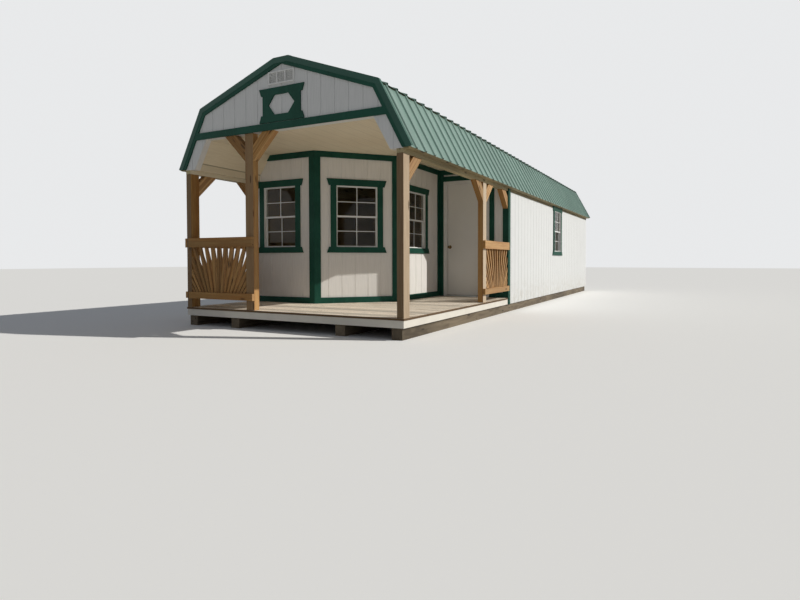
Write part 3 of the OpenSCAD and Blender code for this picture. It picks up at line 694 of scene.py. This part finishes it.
def brace(corner, heading, mirrored, reach=SIDE_REACH):
    """A band of width BRACE_W at 45 degrees, from the post's face (x = 0) up to the timber (z = 0)."""
    inner = reach - BRACE_W * math.sqrt(2)
    outline = np.array([[0, -reach], [reach, 0], [inner, 0], [0, -inner]])
    if mirrored:
        return plank(outline[::-1] * (-1, 1), BRACE_T, corner, heading, grain=-45)
    return plank(outline, BRACE_T, corner, heading, grain=45)


wall_face_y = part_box("wall_trim")[0].y
door_face_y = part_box("door_casing")[0].y
braces = [
    brace((inner_post[1][0], inner_post[0][1], ceiling_z), 0, False, GABLE_REACH),
    brace((inner_post[0][0], inner_post[0][1], ceiling_z), 0, True, GABLE_REACH),
    brace((-wall_x + BRACE_T, left_post[1][1], header_z), 90, False),
    brace((-wall_x + BRACE_T, wall_face_y, header_z), 90, True),
    brace((wall_x, front_post[1][1], header_z), 90, False),
    brace((wall_x, side_post[0][1], header_z), 90, True),
    brace((wall_x, side_post[1][1], header_z), 90, False),
    brace((wall_x, door_face_y, header_z), 90, True),
]
add_planks("braces_of_pine", braces, pine, "pine", replaced=["knee_braces"])

# %% [markdown]
# ## Sunburst railings
#
# Two rails and a cap run over the outer faces of the posts. Behind them, bars fan out like rays from a
# point under the bottom rail. Each bar starts as a long strip along its ray; four straight cuts shorten it
# to the bay, so every end fits the post or rail that it meets. The front rails leave the outer corner of
# the post bare, as in the picture.

# %% Railings
BAR = 0.038
RAIL_W = 0.089
FAN_PITCH = 0.058
FAN_DEPTH = 0.579
LONG = 3.0
BARE_CORNER = 0.07


def fan_bar(k, bay, foot, top):
    """Strip of ray number k: from the focus along (sin a, cos a), where tan a = k * FAN_PITCH / FAN_DEPTH."""
    angle = math.atan2(k * FAN_PITCH, FAN_DEPTH)
    ray = np.array([math.sin(angle), math.cos(angle)])
    side = np.array([math.cos(angle), -math.sin(angle)]) * BAR / 2
    focus = np.array([bay / 2, foot + RAIL_W - FAN_DEPTH])
    far = focus + LONG * ray
    outline = np.array([focus - side, focus + side, far + side, far - side])
    for normal, limit in (((0, -1), -foot), ((0, 1), top), ((-1, 0), 0), ((1, 0), bay)):
        outline = cut(outline, normal, limit)
    return outline, 90 - math.degrees(angle)


def railing(node, origin, heading, bay, before, after):
    """Planks of one railing. Its bay starts at origin, on the outer face of a post, and the rails reach past
    the bay by the lengths before and after."""
    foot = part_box(node)[0].z - floor_z
    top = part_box(node)[1].z - floor_z - BAR
    start = np.array([*origin, floor_z])
    outside = start + turned(np.array([0, -BAR, 0]), heading)
    rails = [plank(rectangle(-before, z, bay + after, z + RAIL_W), BAR, outside, heading)
             for z in (foot, top - RAIL_W)]
    caps = [plank(rectangle(-before, top, bay + after, top + BAR), BAR, outside, heading),
            plank(rectangle(0, top, bay, top + BAR), RAIL_W - BAR, start, heading)]
    count = math.floor((bay / 2 - BAR) / FAN_PITCH)
    bars = [plank(outline, BAR, start, heading, grain)
            for outline, grain in (fan_bar(k, bay, foot, top) for k in range(-count, count + 1))]
    return rails + caps + bars


front_bay = inner_post[0][0] - left_post[1][0]
RAILINGS = {
    "front": ((left_post[1][0], front_y), 0, front_bay, post_w - BARE_CORNER, post_d),
    "right": ((wall_x, side_post[1][1]), 90, door_face_y - side_post[1][1], post_d, 0),
    "left": ((-wall_x, wall_face_y), -90, wall_face_y - left_post[1][1], 0, post_d),
}
for side, numbers in RAILINGS.items():
    add_planks(f"{side}_rail_of_pine", railing(f"{side}_railing", *numbers),
               pine, "pine", edge=0.002, replaced=[f"{side}_railing"])

# %% [markdown]
# ## Corner boards
#
# Where the long walls start behind the porch, a green board covers the edge of their panels. It laps over
# the flat board on the porch's wall, and runs past the deck down to the foot of the panel, so its outline
# has a notch for the deck.

# %% Corner boards
CORNER_W = 0.089
CORNER_GAP = 0.0005
trim_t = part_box("door_casing")[1].y - door_face_y
board_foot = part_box("side_siding")[0].z - floor_z
board_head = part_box("eave_boards")[0].z - floor_z - CORNER_GAP
lapped = CORNER_GAP - trim_t
corner_outline = np.array([
    (0, board_foot), (CORNER_W, board_foot), (CORNER_W, board_head),
    (lapped, board_head), (lapped, CORNER_GAP), (0, CORNER_GAP)])
reach, board_t = wall_x + trim_t, trim_t - CORNER_GAP
corner_boards = [
    plank(corner_outline, board_t, (reach, door_face_y + trim_t, floor_z), 90),
    plank(corner_outline[::-1] * (-1, 1), board_t, (-reach, wall_face_y + trim_t, floor_z), -90),
]
add_planks("corner_boards", corner_boards, trim_paint, "green_trim", edge=0.002)

# %% [markdown]
# ## Closed shapes from grids
#
# The pieces below are surfaces over two numbers: one goes round a section and the other along it. The
# places are a grid of rows and columns. The rows close into a ring, and one face closes either end. If the
# volume that the faces enclose comes out negative, they all face inwards and are turned round.

# %% Closed grid
def closed_grid(grid):
    """Places and faces of a closed surface from a grid (rows round, columns along, 3)."""
    rows, columns = grid.shape[:2]
    number = np.arange(rows * columns).reshape(rows, columns)
    here, right = number[:, :-1], number[:, 1:]
    quads = np.stack([here, right, np.roll(right, -1, axis=0), np.roll(here, -1, axis=0)], axis=-1)
    quads = quads.reshape(-1, 4)
    faces = [*quads, number[:, 0], number[::-1, -1]]
    places = grid.reshape(-1, 3)
    a, b, c = np.moveaxis(places[quads[:, :3]] - places.mean(axis=0), 1, 0)
    volume = np.einsum("ij,ij->", a, np.cross(b - a, c - a))
    return places, [face[::-1] for face in faces] if volume < 0 else faces


def smooth(piece):
    """Smooth shading, but sharp edges where faces meet at more than 35 degrees."""
    piece.data.polygons.foreach_set("use_smooth", [True] * len(piece.data.polygons))
    piece.data.set_sharp_from_angle(angle=math.radians(35))
    return piece


# %% [markdown]
# ## Windows
#
# A double hung window has a thin vinyl frame and two sashes. The upper one stands near the outside, the
# lower one behind it, and both meet over one rail. A frame is a section of inset and depth that is carried
# round the four corners of a rectangle, so its corners are mitred. Flat bars in front of the glass divide it
# into four panes. One window is made, then set into each box of the frame's windows, from left to right.

# %% Windows
FRAME_FACE = 0.008
FRAME_EASE = 0.002
SASH_FACE = 0.012
SASH_T = 0.024
SASH_GAP = 0.002
SLANT_W, SLANT_DEPTH = 0.004, 0.005
RAIL_H = 0.026
RAIL_PROUD, RAIL_SUNK = 0.004, 0.002
UPPER_DEPTH = 0.020
BAR_FACE = 0.011
BAR_GAP = 0.0005
UPRIGHT_SET, LEVEL_SET = 0.003, 0.004
PANE_T = 0.005
GROOVE = 0.002
WINDOW_HEADINGS = (-90, 0, 45, 90, 90)


def mitred(section, x0, z0, x1, z1):
    """Closed ring: each point (inset, depth) of the section moves in from the four corners by its inset."""
    inset, depth = np.asarray(section, float).T
    towards = np.array([[1, 1], [-1, 1], [-1, -1], [1, -1]])
    corner = rectangle(x0, z0, x1, z1)[:, None] + towards[:, None] * inset[:, None]
    grid = np.stack([corner[..., 0], np.broadcast_to(depth, corner.shape[:2]), corner[..., 1]], axis=-1)
    number = np.arange(grid.shape[0] * grid.shape[1]).reshape(grid.shape[:2])
    following, over = np.roll(number, -1, axis=0), np.roll(number, -1, axis=1)
    faces = np.stack([number, following, np.roll(following, -1, axis=1), over], axis=-1).reshape(-1, 4)
    return grid.reshape(-1, 3), list(faces)


def beam(x0, z0, x1, z1, front, back):
    """Four sided bar from its outline as seen from the front, between two depths."""
    return closed_grid(np.array([[(x, front, z), (x, back, z)] for x, z in rectangle(x0, z0, x1, z1)]))


def sash(low, high, half, depth):
    """Ring, bars and pane of a sash between two heights, from its outer face inwards."""
    section = [(0, 0), (SASH_FACE - SLANT_W, 0), (SASH_FACE, SLANT_DEPTH), (SASH_FACE, SASH_T), (0, SASH_T)]
    inner, foot, head = half - SASH_FACE, low + SASH_FACE, high - SASH_FACE
    middle, thin = (low + high) / 2, BAR_FACE / 2
    glass = depth + SASH_T / 2
    parts = [mitred([(inset, depth + y) for inset, y in section], -half, low, half, high),
             beam(-thin, foot, thin, head, depth + UPRIGHT_SET, glass - BAR_GAP),
             beam(-inner, middle - thin, inner, middle + thin, depth + LEVEL_SET, glass - BAR_GAP)]
    return parts, beam(-inner - GROOVE, foot - GROOVE, inner + GROOVE, head + GROOVE, glass, glass + PANE_T)


def set_in(part, box, heading):
    """A part of a window, moved to its box. The part's zero is the middle of the foot on the outer face."""
    middle = box.mean(axis=0) + turned(np.array([0, -frame_depth / 2, 0]), heading)
    return turned(part[0], heading) + (*middle[:2], box[0, 2]), part[1]


frame_boxes = solids("window_frames")
frame_depth = frame_boxes[0, 1, 0] - frame_boxes[0, 0, 0]
width, height = (frame_boxes[0, 1] - frame_boxes[0, 0])[1:]
half = width / 2 - FRAME_FACE
meeting = height / 2
upper, upper_pane = sash(meeting - RAIL_H / 2, height - FRAME_FACE, half, UPPER_DEPTH)
lower, lower_pane = sash(FRAME_FACE, meeting + RAIL_H / 2, half, UPPER_DEPTH + SASH_T + SASH_GAP)
rail = beam(-half, meeting - RAIL_H / 2, half, meeting + RAIL_H / 2,
            UPPER_DEPTH - RAIL_PROUD, UPPER_DEPTH + RAIL_SUNK)
outer_section = [(0, 0), (FRAME_FACE - FRAME_EASE, 0), (FRAME_FACE, FRAME_EASE),
                 (FRAME_FACE, frame_depth), (0, frame_depth)]
window = join([mitred(outer_section, -width / 2, 0, width / 2, height), *upper, *lower, rail])
panes = join([upper_pane, lower_pane])
for name, part, finish, slot, node in (
        ("window_sashes", window, vinyl, "white_vinyl", "window_frames"),
        ("window_panes", panes, window_glass, "window_glass", "window_glass")):
    placed = [set_in(part, *place) for place in zip(frame_boxes, WINDOW_HEADINGS)]
    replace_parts(add_piece(name, *join(placed), finish, slot), node)

# %% [markdown]
# ## Ribbed roof sheets
#
# The roof is rolled steel: flat pans with a rib every nine inches. Its section is a height over the length
# of the roof, and a sheet is that section drawn down the slope, once for its top side and once for its
# under side. The upper sheets run on past the knee, but not where the angle of the rake bends round it, so
# the length of a sheet depends on the place along the roof too. The frame's sheets have four corners to a
# rib, and the middle of each four is where a rib lies.

# %% Ribbed sheets
RIB_FOOT = 0.022
RIB_TOP = 0.011
RIB_H = 0.019
METAL_T = 0.0015
KNEE_LAP = 0.045
RAKE_LEG = 0.047
STEP = 0.0004
BEND_POINTS = 5
LEVEL_WEIGHT = 9

sheet_y = np.unique(mesh_arrays("lower_roof_sheets")[0][:, 1].round(4))
roof_start, roof_end = sheet_y[0], sheet_y[-1]
ribs = sheet_y[1:-1].reshape(-1, 4).mean(axis=1)


def rib_height(along):
    """Height over the length of the roof: RIB_H on a rib, none past its foot, and between them 3u^2 - 2u^3
    of the share u of the way up, which rounds both bends."""
    distance = np.abs(along[:, None] - ribs).min(axis=1)
    u = np.clip((RIB_FOOT - distance) / (RIB_FOOT - RIB_TOP), 0, 1)
    return RIB_H * (3 * u ** 2 - 2 * u ** 3)


def slope_of(node):
    """Start of a right-hand slope, its direction down, its direction out and its length, as seen from the
    front. The start and end are the outer corners of the frame's sheet at its front edge: the points that
    lie furthest up and right, counted against their distance from the highest or the lowest level."""
    places = mesh_arrays(node)[0]
    edge = places[(places[:, 1] < roof_start + HAIR) & (places[:, 0] > 0)][:, [0, 2]]
    start, end = (edge[np.argmax(edge.sum(axis=1) - LEVEL_WEIGHT * np.abs(edge[:, 1] - z))]
                  for z in (edge[:, 1].max(), edge[:, 1].min()))
    length = np.linalg.norm(end - start)
    down = (end - start) / length
    return start, down, np.array([-down[1], down[0]]), length


def ribbed_sheet(node, side, lap):
    """One sheet. Its rows are the start and end of the top side, then the end and start of the under side."""
    start, down, out, length = slope_of(node)
    turns = np.linspace(RIB_TOP, RIB_FOOT, BEND_POINTS)
    cuts = [roof_start, roof_end, roof_start + RAKE_LEG, roof_start + RAKE_LEG + STEP,
            roof_end - RAKE_LEG, roof_end - RAKE_LEG - STEP]
    along = np.unique(np.concatenate([(ribs[:, None] + np.concatenate([-turns, turns])).ravel(), cuts]))
    inside = (along > roof_start + RAKE_LEG) & (along < roof_end - RAKE_LEG)
    reach = length + lap * inside
    grid = np.empty((4, len(along), 3))
    for row, (depth, far) in enumerate(((0, 0), (0, 1), (METAL_T, 1), (METAL_T, 0))):
        place = start + (rib_height(along) - depth)[:, None] * out + (far * reach)[:, None] * down
        grid[row] = np.column_stack([side * place[:, 0], along, place[:, 1]])
    return closed_grid(grid)


for name, node, lap in (("upper_sheets", "upper_roof_sheets", KNEE_LAP),
                        ("lower_sheets", "lower_roof_sheets", 0.0)):
    sheets = join([ribbed_sheet(node, side, lap) for side in (1, -1)])
    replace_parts(smooth(add_piece(name, *sheets, roof_metal, "roof_metal")), node)

# %% [markdown]
# Screws with a washer and a painted six sided head hold the pans down beside every rib, in rows over the
# battens. One screw is four rings round an axis. It is turned to each slope and copied to its places.

# %% Roof screws
SCREW_ROWS = {"lower_roof_sheets": (0.07, 0.43, 0.80), "upper_roof_sheets": (0.10, 0.66, 1.22)}
SCREW_SIDES = 6
SCREW_PROFILE = [(0.0075, -0.0005), (0.0075, 0.0012), (0.0042, 0.0016), (0.0036, 0.0055)]
BESIDE_RIB = 0.034


def lathe_rings(profile, sides):
    """Places (sides, rings, 3) of a profile of radius and height turned about the third axis."""
    turn = np.arange(sides) * 2 * np.pi / sides
    radius, height = np.asarray(profile, float).T
    return np.stack([np.outer(np.cos(turn), radius), np.outer(np.sin(turn), radius),
                     np.broadcast_to(height, (sides, len(height)))], axis=-1)


screw = closed_grid(lathe_rings(SCREW_PROFILE, SCREW_SIDES))
screws = []
for node, rows in SCREW_ROWS.items():
    start, down, out, _ = slope_of(node)
    for side in (1, -1):
        places = screw[0] @ [[side * down[0], 0, down[1]], [0, side, 0], [side * out[0], 0, out[1]]]
        for row in rows:
            x, z = start + row * down
            screws += [(places + (side * x, y, z), screw[1]) for y in ribs + BESIDE_RIB]
# The screws take the flashings' darker coat, so its painted shade darkens them too.
add_piece("roof_screws", *join(screws), flashing_metal, "flashing_metal")

# %% [markdown]
# ## Gable vent
#
# The vent is moulded in one piece: a frame with three bays, each with slats that lean outwards at the foot
# and shed the rain. A slat is a thin four sided section drawn across its bay.

# %% Gable vent
VENT_FRAME = 0.016
VENT_SLATS = 6
FIRST_SLAT = 0.15
SLAT_SECTION = [(0.004, 0), (0.0165, 0.0125), (0.0150, 0.0140), (0.0025, 0.0015)]
vent_low, vent_high = (np.array(corner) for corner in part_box("gable_vent"))
vent_w, _, vent_h = vent_high - vent_low
bay_w = (vent_w - 4 * VENT_FRAME) / 3


def bar(x0, z0, x1, z1):
    return beam(x0, z0, x1, z1, vent_low[1], vent_high[1])


def slat(x0, z):
    """The slat's section of depth and height, drawn over a bay from x0."""
    return closed_grid(np.array([[(x, vent_low[1] + y, z + h) for x in (x0, x0 + bay_w)]
                                 for y, h in SLAT_SECTION]))


uprights = vent_low[0] + np.arange(4) * (bay_w + VENT_FRAME)
foot, head = vent_low[2] + VENT_FRAME, vent_high[2] - VENT_FRAME
levels = foot + (np.arange(VENT_SLATS) + FIRST_SLAT) * (vent_h - 2 * VENT_FRAME) / VENT_SLATS
bars = [bar(x, foot, x + VENT_FRAME, head) for x in uprights]
bars += [bar(vent_low[0], z, vent_high[0], z + VENT_FRAME) for z in (vent_low[2], head)]
bars += [slat(x + VENT_FRAME, z) for x in uprights[:3] for z in levels]
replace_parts(add_piece("vent_of_vinyl", *join(bars), vinyl, "white_vinyl"), "gable_vent")

# %% [markdown]
# ## Door knob
#
# A knob is turned: a flat rose on the leaf, a neck, and a ball that is flattened towards its face. Its
# profile is a radius over the share of the knob's length. On the ball the share is a cosine of an angle
# and the radius a blunt sine of it. There is one knob outside and one inside.

# %% Door knob
KNOB_SIDES = 48
POINT = 0.0002
NECK = [(0, POINT), (0, 0.032), (0.05, 0.032), (0.09, 0.029), (0.10, 0.012), (0.30, 0.011), (0.36, 0.012)]
BALL_MIDDLE, BALL_HALF = 0.68, 0.32
BALL_RADIUS, BLUNT = 0.026, 0.8
swing = np.linspace(0.25, 1, 22) * np.pi
ball = np.column_stack([BALL_MIDDLE - BALL_HALF * np.cos(swing),
                        BALL_RADIUS * np.sin(swing) ** BLUNT + POINT])
share, radius = np.concatenate([NECK, ball]).T


def knob(low, high, outward):
    """Closed shape in the box from low to high; outward is the side of the leaf, -1 or 1 along Y."""
    rings = lathe_rings(np.column_stack([radius, share * (high[1] - low[1])]), KNOB_SIDES)
    foot = high[1] if outward < 0 else low[1]
    middle = (low + high) / 2
    return closed_grid(np.stack([middle[0] + rings[..., 0], foot + outward * rings[..., 2],
                                 middle[2] + rings[..., 1]], axis=-1))


knobs = [knob(*box, outward) for box, outward in zip(solids("door_knob", TO_THE_BACK), (-1, 1))]
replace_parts(smooth(add_piece("turned_knob", *join(knobs), knob_metal, "brass", body="door")), "door_knob")

# %% [markdown]
# ## Deck nails
#
# Two nails hold every deck board to every joist, and the joists stand 16 inches apart from the left rim
# board on. A nail's head is a low dome of two rings.

# %% Deck nails
NAIL_SIDES = 8
NAIL_PROFILE = [(0.0045, -0.0004), (0.0045, 0.0003), (0.003, 0.0007)]
JOIST_PITCH = 0.406
JOIST_T = 0.038
RIM_CLEAR = 0.25
LEFT_CLEAR, RIGHT_CLEAR = 0.17, 0.03
FROM_EDGE = 0.028
nail = closed_grid(lathe_rings(NAIL_PROFILE, NAIL_SIDES))
joist_x = np.arange(-wall_x + JOIST_T + JOIST_PITCH + JOIST_T / 2, wall_x - RIM_CLEAR, JOIST_PITCH)
heads = []
for low, high in deck_solids:
    usable = joist_x[(joist_x > low[0] + LEFT_CLEAR) & (joist_x < high[0] - RIGHT_CLEAR)]
    rows = low[1] + FROM_EDGE, high[1] - FROM_EDGE
    heads += [(nail[0] + (x, y, high[2]), nail[1]) for x in usable for y in rows]
add_piece("deck_nails", *join(heads), nail_metal, "sill_metal")

# %% [markdown]
# ## Floor and light
#
# A plain pale floor holds the shadow. One lamp stands high on the right and a little behind, as the sun
# does, so that the ribs of the roof are modelled by it and the gable lies in the shade. An even pale sky
# fills the shade. The camera, mirrors and glass see that sky and the floor brighter than they shine, so the
# picture's ground is pale while the walls keep their shade.

# %% Floor and light
def direct_rays(tree):
    """1 for rays from the camera and for those that a mirror or glass sends on, else 0."""
    path = tree.nodes.new("ShaderNodeLightPath")
    seen = path.outputs["Is Camera Ray"]
    for ray in ("Is Glossy Ray", "Is Transmission Ray"):
        either = tree.nodes.new("ShaderNodeMath")
        either.operation = "MAXIMUM"
        tree.links.new(seen, either.inputs[0])
        tree.links.new(path.outputs[ray], either.inputs[1])
        seen = either.outputs[0]
    return seen


FLOOR_HALF = 60
FLOOR_LIT, FLOOR_SEEN = (0.54, 0.53, 0.50), (0.95, 0.95, 0.94)
SUN_ENERGY, SUN_COLOUR = 3.05, (1.0, 0.965, 0.90)
SUN_WIDTH, SUN_FROM_ZENITH, SUN_BEARING = math.radians(0.6), math.radians(56.5), math.radians(110)
SKY_COLOUR, SKY_STRENGTH = (0.86, 0.91, 1.0, 1), 0.22
SEEN_COLOUR, SEEN_STRENGTH = (0.90, 0.91, 0.92, 1), 0.90

corners = np.array([[-1, -1, 0], [1, -1, 0], [1, 1, 0], [-1, 1, 0]]) * FLOOR_HALF
mesh = bpy.data.meshes.new("studio_floor")
mesh.from_pydata(corners.tolist(), [], [[0, 1, 2, 3]])
floor_paint = new_finish("floor_paint", Roughness=0.9, Specular_IOR_Level=0.0)
to_shader(floor_paint, Base_Color=blend(
    floor_paint, direct_rays(floor_paint.node_tree), FLOOR_LIT, FLOOR_SEEN))
mesh.materials.append(floor_paint)
studio_floor = bpy.data.objects.new("studio_floor", mesh)
scene.collection.objects.link(studio_floor)

key = bpy.data.lights.new("key", "SUN")
key.energy = SUN_ENERGY
key.angle = SUN_WIDTH
key.color = SUN_COLOUR
key_lamp = bpy.data.objects.new("key", key)
key_lamp.rotation_euler = (SUN_FROM_ZENITH, 0, SUN_BEARING)
scene.collection.objects.link(key_lamp)

world = bpy.data.worlds.new("studio")
scene.world = world
world.use_nodes = True
nodes, links = world.node_tree.nodes, world.node_tree.links
sky, seen_sky = nodes["Background"], nodes.new("ShaderNodeBackground")
mixed = nodes.new("ShaderNodeMixShader")
for background, colour, strength in ((sky, SKY_COLOUR, SKY_STRENGTH), (seen_sky, SEEN_COLOUR, SEEN_STRENGTH)):
    background.inputs["Color"].default_value = colour
    background.inputs["Strength"].default_value = strength
for number, output in enumerate((direct_rays(world.node_tree), sky.outputs[0], seen_sky.outputs[0])):
    links.new(output, mixed.inputs[number])
links.new(mixed.outputs[0], nodes["World Output"].inputs["Surface"])
print("floor and light are set")
